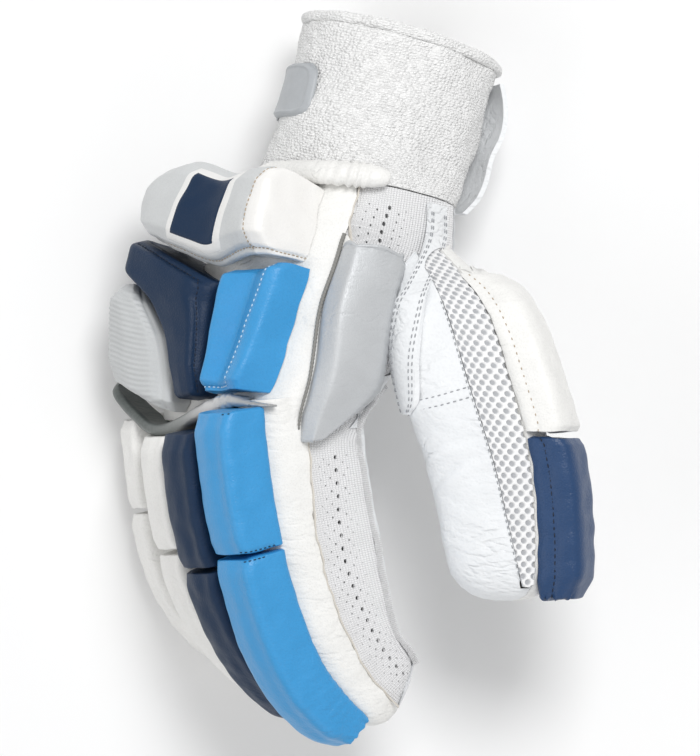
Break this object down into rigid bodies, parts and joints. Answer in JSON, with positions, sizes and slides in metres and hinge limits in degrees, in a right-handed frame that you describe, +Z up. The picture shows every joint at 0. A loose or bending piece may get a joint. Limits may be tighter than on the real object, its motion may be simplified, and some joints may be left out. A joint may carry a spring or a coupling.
{
  "type": "cricket batting glove",
  "caption": "Right-hand cricket batting glove with foam finger rolls, pads over the back of the hand, a padded thumb and a towelling wristband, lying on its little-finger side.",
  "frame": {"origin": "middle of the footprint, on the floor that the glove lies on", "axes": "+Y from the fingertips to the wristband, +X towards the palm and thumb tip, +Z up towards the thumb side"},
  "size_m": [0.191, 0.2876, 0.1159],
  "materials": {
    "white_leather": "soft matt",
    "pearl_leather": "satin",
    "blue_leather": "satin grained",
    "navy_leather": "satin grained",
    "mid_navy_leather": "satin grained",
    "silver_leather": "metallic satin",
    "dark_metallic_leather": "metallic crinkled",
    "embossed_grey": "embossed matt",
    "grey_piping": "satin",
    "white_knit": "open knit",
    "towelling": "looped pile",
    "grey_badge": "matt moulded"
  },
  "bodies": {
    "root": {"back_leather": "white_leather", "palm_leather": "white_leather", "index_back": "white_leather", "index_front": "white_leather", "middle_back": "white_leather", "middle_front": "white_leather", "ring_back": "white_leather", "ring_front": "white_leather", "little_back": "white_leather", "little_front": "white_leather", "knit_gusset": "white_knit", "fourchette_1": "white_knit", "fourchette_2": "white_knit", "fourchette_3": "white_knit", "ulnar_gusset": "white_knit", "thumb_mesh": "white_knit", "thumb_back": "white_leather", "thumb_leather": "white_leather", "index_roll_near": "blue_leather", "index_roll_far": "blue_leather", "middle_roll_near": "navy_leather", "middle_roll_far": "navy_leather", "ring_roll_near": "white_leather", "ring_roll_far": "white_leather", "little_roll_near": "white_leather", "little_roll_far": "white_leather", "hand_pad_navy": "navy_leather", "hand_pad_blue": "blue_leather", "hand_pad_grey": "embossed_grey", "knuckle_strip": "dark_metallic_leather", "side_bar": "silver_leather", "side_bar_piping": "grey_piping", "ulnar_bar": "silver_leather", "thumb_pad_white": "white_leather", "thumb_pad_navy": "mid_navy_leather", "thumb_strap": "white_leather", "wristband": "towelling", "wristband_hem": "towelling", "wristband_badge": "grey_badge", "closure_tab": "white_leather", "wrist_rim": "white_leather", "wrist_roll": "pearl_leather"}
  },
  "joints": []
}
